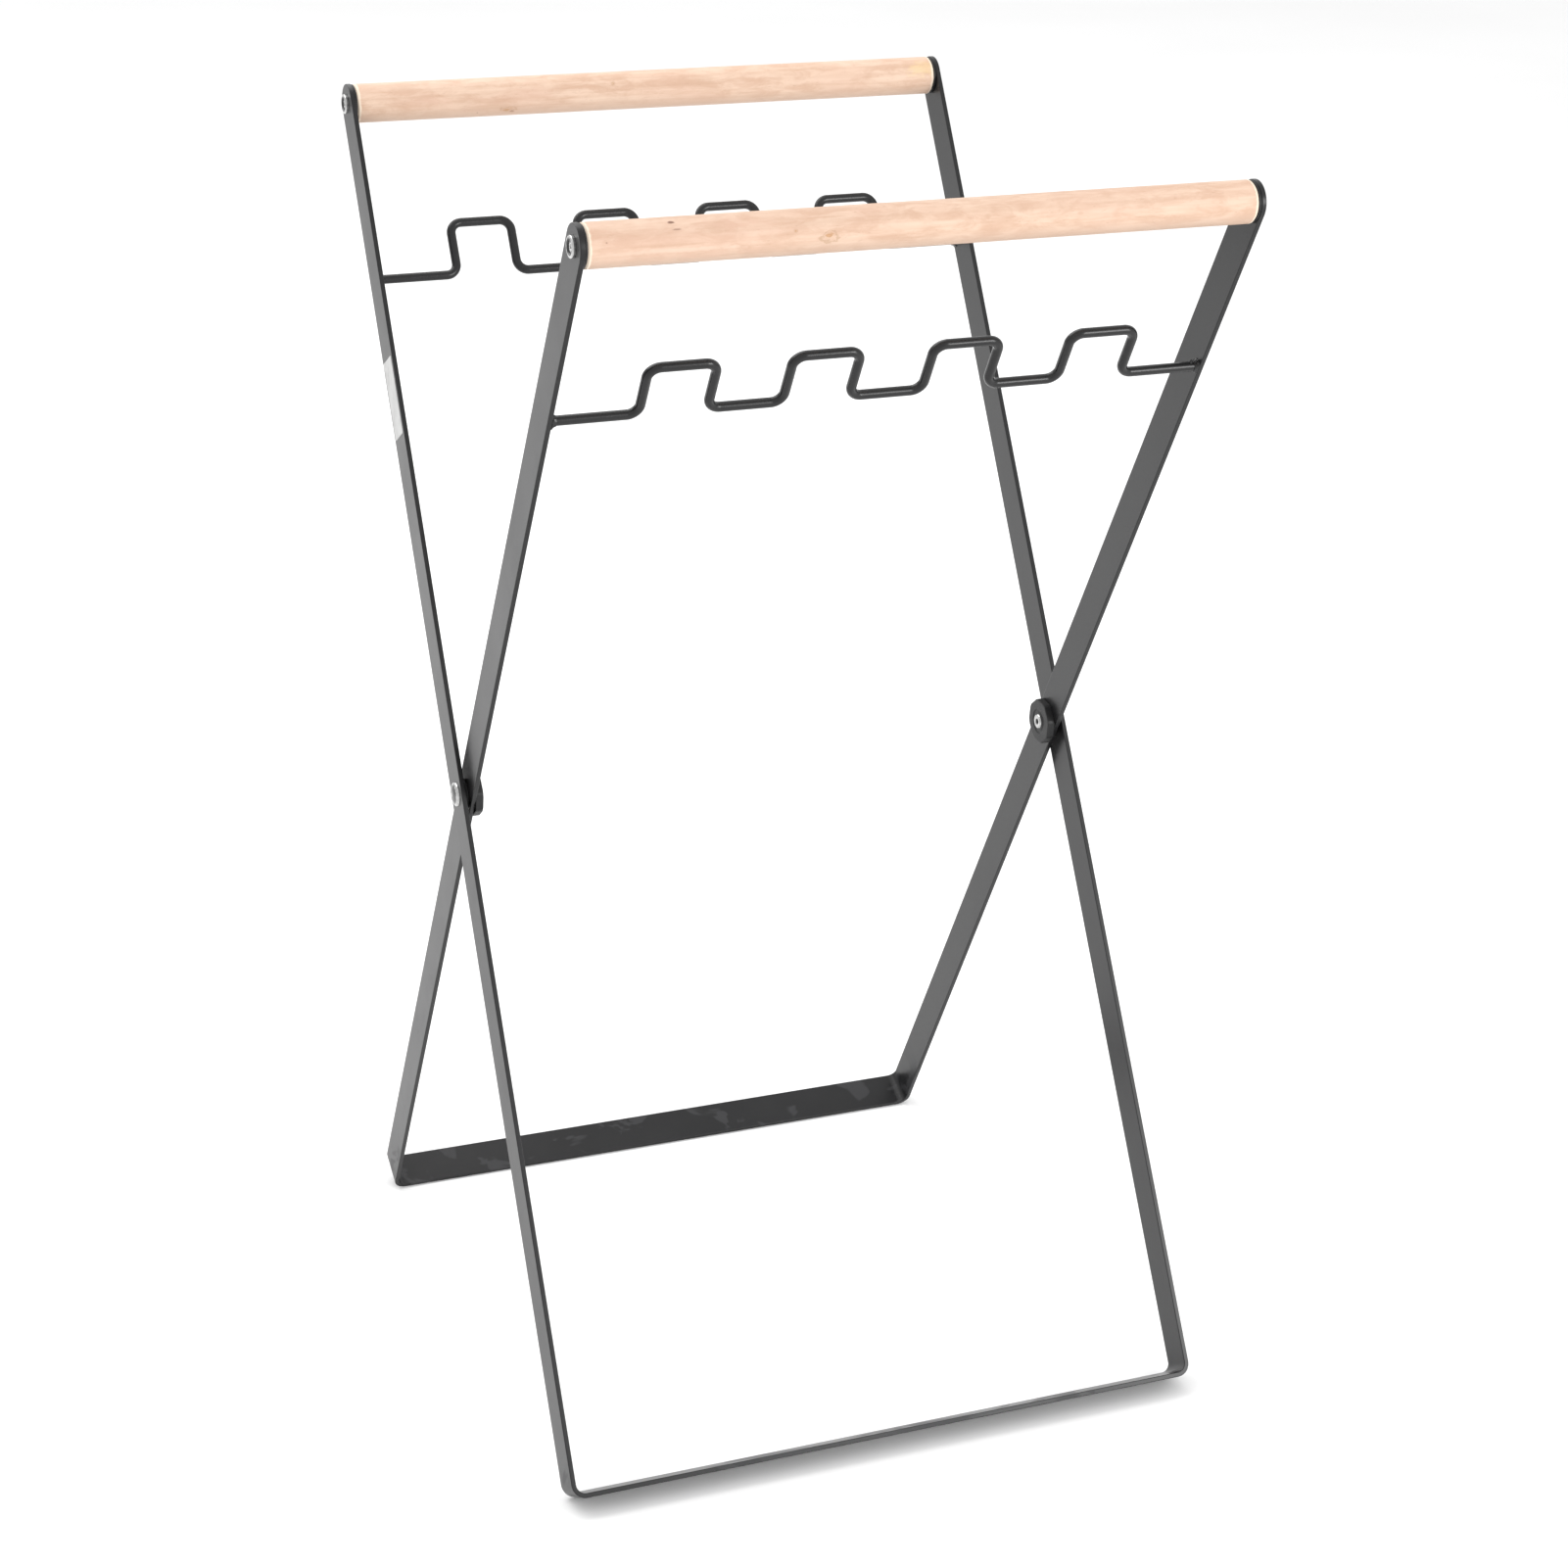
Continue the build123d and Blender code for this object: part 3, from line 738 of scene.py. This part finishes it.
def make_welds(side):
    """Both beads of one wire, kept within the legs' width, with two drops of spatter on the front
    wire's right-hand bead."""
    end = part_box(f"{side}_wire_welds")[1].x
    bm = weld_bead(end, 0.7 + SIDE[side])
    left = mirrored(weld_bead(end, 3.9 + SIDE[side]))
    copy = bpy.data.meshes.new("left_bead")
    left.to_mesh(copy)
    left.free()
    bm.from_mesh(copy)
    bpy.data.meshes.remove(copy)
    wire_up = LEG_LENGTH - WIRE_BELOW_RAIL[side]
    bm.transform(Matrix.Translation((0, wire_up, WIRE_AWAY)))
    if side == "inner":
        for x, height, width, lean in ((4.6, 3.4, 2.2, -0.5), (1.7, 3.0, 2.0, 0.4)):
            foot = (end - x * MM, wire_up + 0.82 * WIRE_RADIUS, WIRE_AWAY - 0.2 * MM)
            spatter(bm, foot, height * MM, width * MM, lean * MM)
    for vertex in bm.verts:
        vertex.co.z = min(vertex.co.z, HALF_BAR)
    welds = loose_object(f"{side}_weld_beads", bm, frame_matrix(side))
    return finish_piece(welds, WIRE_COAT, side, f"{side}_wire_welds", sharp_degrees=70)


# ---------------------------------------------------------------- rail screws
SCREW_HEAD_RADIUS = 6.3 * MM
SCREW_HEAD_HEIGHT = 2.2 * MM
SCREW_HEAD_EDGE = 0.8 * MM
SCREW_DISH_RADIUS = 4.5 * MM
SCREW_DISH_DEPTH = 0.75 * MM
SCREW_DISH_SLOPE = 0.55 * MM
SCREW_RADIUS = 2.75 * MM
SCREW_LENGTH = 42.0 * MM
SCREW_TIP = 6.0 * MM
CROSS_LENGTH = 3.5 * MM
CROSS_WIDTH = 0.85 * MM
CROSS_DEPTH = 1.0 * MM
CROSS_TURN = 20.0


def cross_cutter(name, top, turn, matrix):
    """One wing of the cross recess: its walls lean in, and it is shallower at its ends."""
    bm = bmesh.new()
    rows = []
    for depth, length, width in ((-0.5, 1.06, 1.25), (0.0, 1.0, 1.1), (0.75, 0.55, 0.9), (1.0, 0.34, 0.6)):
        x = top - depth * CROSS_DEPTH
        a, b = length * CROSS_LENGTH / 2, width * CROSS_WIDTH / 2
        rows.append([bm.verts.new((x, y, z)) for y, z in ((-a, -b), (a, -b), (a, b), (-a, b))])
    skin(bm, rows, closed=True)
    for row in (rows[0], rows[-1]):
        bm.faces.new(row)
    bm.transform(Matrix.Rotation(radians(turn), 4, "X"))
    return loose_object(name, bm, matrix)


def make_rail_screw(side, hand):
    """A wood screw, its shank in the rail: a flat head with a round hollow in its face, and a cross
    recess in the hollow's floor. hand is +1 on the right."""
    label = "right" if hand > 0 else "left"
    node = f"{side}_rail_screw_{label}"
    low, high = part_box(node)
    centre = middle(node)
    top = high.x if hand > 0 else -low.x
    seat = top - SCREW_HEAD_HEIGHT
    floor = top - SCREW_DISH_DEPTH
    corners = [
        (seat - SCREW_LENGTH, 0), (seat - SCREW_LENGTH + SCREW_TIP, SCREW_RADIUS), (seat, SCREW_RADIUS),
        (seat, SCREW_HEAD_RADIUS), (top, SCREW_HEAD_RADIUS), (top, SCREW_DISH_RADIUS),
        (floor, SCREW_DISH_RADIUS - SCREW_DISH_SLOPE), (floor, 0),
    ]
    radii = [1.5 * MM, 0.2 * MM, 0.15 * MM, SCREW_HEAD_EDGE, 0.25 * MM, 0.3 * MM]
    place = Matrix.Translation((0, centre.y, centre.z))
    if hand < 0:
        place = place @ Matrix.Scale(-1, 4, (1, 0, 0))
    bm = lathe(rounded_profile(corners, radii), 72)
    screw = loose_object(f"{node}_plated", bm, place)
    cut_away(screw, [
        cross_cutter("wing_a", floor, CROSS_TURN, place),
        cross_cutter("wing_b", floor, CROSS_TURN + 90, place),
    ])
    return finish_piece(screw, PLATE, side, node, sharp_degrees=35)


# ---------------------------------------------------------------- pivots
RIVET_RADIUS = 3.75 * MM
RIVET_HEAD_RADIUS = 7.9 * MM
RIVET_HEAD_HEIGHT = 3.3 * MM
RIVET_CLINCH_RADIUS = 5.0 * MM
RIVET_CLINCH_HEIGHT = 1.2 * MM
RIVET_HOLLOW_RADIUS = 1.5 * MM
RIVET_HOLLOW_DEPTH = 6.5 * MM
COLLAR_SIDES = 8
COLLAR_FLATS = 28.5 * MM
COLLAR_CHAMFER = 0.75 * MM
COLLAR_TURN = 30.0
COLLAR_BORE = 3.8 * MM
COLLAR_GROOVE = (6.1 * MM, 8.5 * MM, 0.45 * MM)     # inner radius, outer radius, depth
COLLAR_SEGMENTS = 192
SPACER_RADIUS = 9.2 * MM


def make_rivet(hand):
    """A semi-tubular rivet: low domed head outside, and a rolled end inside that shows its hollow."""
    label = "right" if hand > 0 else "left"
    node = f"pivot_rivet_{label}"
    low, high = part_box(node)
    crown, end = (high.x, low.x) if hand > 0 else (-low.x, -high.x)
    seat = crown - RIVET_HEAD_HEIGHT
    face = end + RIVET_CLINCH_HEIGHT
    corners = [
        (end + RIVET_HOLLOW_DEPTH, 0), (end + RIVET_HOLLOW_DEPTH, RIVET_HOLLOW_RADIUS),
        (end, RIVET_HOLLOW_RADIUS), (end, RIVET_CLINCH_RADIUS - 0.6 * MM), (face, RIVET_CLINCH_RADIUS),
        (face, RIVET_RADIUS), (seat, RIVET_RADIUS), (seat, RIVET_HEAD_RADIUS),
        (seat + 0.9 * MM, RIVET_HEAD_RADIUS), (crown - 0.35 * MM, 0.5 * RIVET_HEAD_RADIUS), (crown, 0),
    ]
    radii = [0.3 * MM, 1.2 * MM, 1.2 * MM, 0.2 * MM, 0.0, 0.0, 0.25 * MM, 1.6 * MM, 8.0 * MM]
    bm = lathe(rounded_profile(corners, radii), 84)
    place = Matrix.Translation((0, PIVOT.y, PIVOT.z))
    if hand < 0:
        place = place @ Matrix.Scale(-1, 4, (1, 0, 0))
    rivet = loose_object(f"{node}_plated", bm, place)
    return finish_piece(rivet, PLATE, "outer", node, sharp_degrees=40)


def make_collar(hand):
    """The thick eight-sided collar, as rings of points from its bore over its face to its back: a
    shallow groove round the rivet, a chamfer, and eased corners."""
    label = "right" if hand > 0 else "left"
    node = f"pivot_collar_{label}"
    low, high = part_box(node)
    face, back = (low.x, high.x) if hand > 0 else (-high.x, -low.x)
    corner = COLLAR_FLATS / 2 / cos(pi / COLLAR_SIDES)
    ease, round_off = 0.35 * MM, 0.25 * MM
    groove_in, groove_out, depth = COLLAR_GROOVE

    def side_radius(angle, limit):
        """Radius to the collar's side, held under limit."""
        turn = (angle - radians(COLLAR_TURN)) % (2 * pi / COLLAR_SIDES) - pi / COLLAR_SIDES
        return min(COLLAR_FLATS / 2 / cos(turn), limit)

    # x, and a round ring's radius or None where the ring follows the sides; then the sides' inset, limit
    rings = [
        (back, COLLAR_BORE), (face + ease, COLLAR_BORE), (face, COLLAR_BORE + ease),
        (face, groove_in - ease), (face + 0.15 * depth, groove_in), (face + depth, groove_in + 1.5 * ease),
        (face + depth, groove_out - 1.5 * ease), (face + 0.15 * depth, groove_out), (face, groove_out + ease),
        (face, None, 1.2 * MM, corner - COLLAR_CHAMFER), (face, None, 2 * round_off, corner - COLLAR_CHAMFER),
        (face + 0.3 * round_off, None, 0.7 * round_off, corner - COLLAR_CHAMFER),
        (face + round_off, None, 0.0, corner - COLLAR_CHAMFER + round_off),
        (face + COLLAR_CHAMFER, None, 0.0, corner - ease), (back - round_off, None, 0.0, corner - ease),
        (back, None, round_off, corner - ease), (back, COLLAR_BORE + 3.0 * MM),
    ]
    bm = bmesh.new()
    rows = []
    for x, radius, *inset_and_limit in rings:
        row = []
        for i in range(COLLAR_SEGMENTS):
            angle = 2 * pi * i / COLLAR_SEGMENTS
            if radius is None:
                inset, limit = inset_and_limit
                reach = side_radius(angle, limit) - inset
            else:
                reach = radius
            row.append(bm.verts.new((x, reach * cos(angle), reach * sin(angle))))
        rows.append(row)
    skin(bm, [*rows, rows[0]], closed=True)
    place = Matrix.Translation((0, PIVOT.y, PIVOT.z))
    if hand < 0:
        place = place @ Matrix.Scale(-1, 4, (1, 0, 0))
    collar = loose_object(f"{node}_moulded", bm, place)
    return finish_piece(collar, PLASTIC, "inner", node, sharp_degrees=28)


# ---------------------------------------------------------------- label
LABEL_WIDTH = 20.5 * MM
LABEL_LENGTH = 51.5 * MM
LABEL_THICKNESS = 0.15 * MM
LABEL_BELOW_RAIL = 198.7 * MM
LABEL_CORNER = 1.5 * MM
LABEL_CURL = 0.5 * MM


def make_label():
    """A blank label on the outer frame's left leg, with one corner lifting a little."""
    middle_up = LEG_LENGTH - LABEL_BELOW_RAIL
    half_long, half_wide = LABEL_LENGTH / 2, LABEL_WIDTH / 2
    corners = [(0, -half_wide), (half_long, -half_wide), (half_long, half_wide), (-half_long, half_wide),
               (-half_long, -half_wide), (0, -half_wide)]
    outline = [point for point, _ in rounded_path(corners, [LABEL_CORNER] * 4, run_step=2 * MM)][:-1]
    bm = bmesh.new()

    def at(along, across, lift):
        curl = max(0.0, (along + across) / (half_long + half_wide) - 0.72) / 0.28
        out = half_width("outer", middle_up + along) + lift + LABEL_CURL * curl ** 2
        return bm.verts.new((-out, middle_up + along, across))

    shares = (1.0, 0.97, 0.85, 0.6, 0.3)
    rows = [[at(p.x * s, p.y * s, lift) for p in outline] for s, lift in
            [*((s, 0.02 * MM) for s in reversed(shares)), *((s, LABEL_THICKNESS) for s in shares)]]
    skin(bm, rows, closed=True)
    for row in (rows[0], rows[-1]):
        bm.faces.new(row)
    label = loose_object("blank_label_film", bm, frame_matrix("outer"))
    return finish_piece(label, LABEL, "outer", "blank_label")


# ---------------------------------------------------------------- the rack
for side in SIDE:
    make_frame(side)
    make_rail(side)
    make_hook_wire(side)
    make_welds(side)
    for hand_name, hand in (("left", -1), ("right", 1)):
        make_rail_screw(side, hand)
        make_washer(f"{side}_rail_disc_{hand_name}", f"{side}_rail_disc_{hand_name}_pressed", side,
                    SCREW_HOLE_RADIUS, DISC_RADIUS, DISC_EDGE, PLASTIC)
for hand_name, hand in (("left", -1), ("right", 1)):
    make_rivet(hand)
    make_collar(hand)
    make_washer(f"pivot_spacer_{hand_name}", f"pivot_spacer_{hand_name}_turned", "outer",
                COLLAR_BORE, SPACER_RADIUS, 0.3 * MM, PLASTIC)
make_label()


# ---------------------------------------------------------------- stage, light and camera
FLOOR_SIZE = 24.0
FLOOR_CELLS = 8


def make_floor():
    """A plain, flat, pale floor, wide enough for every view."""
    bm = bmesh.new()
    places = [FLOOR_SIZE * (i / FLOOR_CELLS - 0.5) for i in range(FLOOR_CELLS + 1)]
    skin(bm, [[bm.verts.new((x, y, 0)) for x in places] for y in places], closed=False)
    floor = loose_object("floor", bm)
    floor.data.materials.append(floor_finish("pale_floor"))


def make_light(name, place, target, size, power):
    """A soft rectangular light at place, facing target."""
    data = bpy.data.lights.new(name, "AREA")
    data.shape = "RECTANGLE"
    data.size, data.size_y = size
    data.energy = power
    light = bpy.data.objects.new(name, data)
    light.location = place
    light.rotation_euler = (Vector(target) - Vector(place)).to_track_quat("-Z", "Y").to_euler()
    light.visible_camera = False
    bpy.context.scene.collection.objects.link(light)


CAMERA_PLACE = Vector((-0.7357, -1.8735, 1.1513))
CAMERA_YAW, CAMERA_PITCH, CAMERA_ROLL = 21.77, -21.23, 0.88       # degrees
CAMERA_LENS, CAMERA_SENSOR = 75.53, 36.0                          # millimetres


def make_camera():
    """The viewing angle: from the front left, looking down."""
    yaw, pitch, roll = radians(CAMERA_YAW), radians(CAMERA_PITCH), radians(CAMERA_ROLL)
    ahead = Vector((sin(yaw) * cos(pitch), cos(yaw) * cos(pitch), sin(pitch)))
    right = ahead.cross(Vector((0, 0, 1))).normalized()
    up = right.cross(ahead)
    rolled_right = cos(roll) * right + sin(roll) * up
    rolled_up = cos(roll) * up - sin(roll) * right
    data = bpy.data.cameras.new("camera")
    data.sensor_width = CAMERA_SENSOR
    data.lens = CAMERA_LENS
    camera = bpy.data.objects.new("camera", data)
    turn = Matrix((rolled_right, rolled_up, -ahead)).transposed().to_4x4()
    camera.matrix_world = Matrix.Translation(CAMERA_PLACE) @ turn
    bpy.context.scene.collection.objects.link(camera)
    bpy.context.scene.camera = camera


def make_world(strength):
    """An even white surround."""
    world = bpy.data.worlds.new("studio")
    world.use_nodes = True
    sky = world.node_tree.nodes["Background"]
    sky.inputs["Color"].default_value = (1, 1, 1, 1)
    sky.inputs["Strength"].default_value = strength
    bpy.context.scene.world = world


make_floor()
make_light("front_right_softbox", (1.56, -2.58, 1.1), (0, -0.09, 0.55), (1.2, 1.2), 44)
make_light("rear_left_overhead", (-0.74, 2.02, 2.58), (-0.37, 2.02, 0), (3.3, 2.76), 72)
make_world(1.06)
make_camera()
bpy.context.scene.view_settings.view_transform = "Standard"
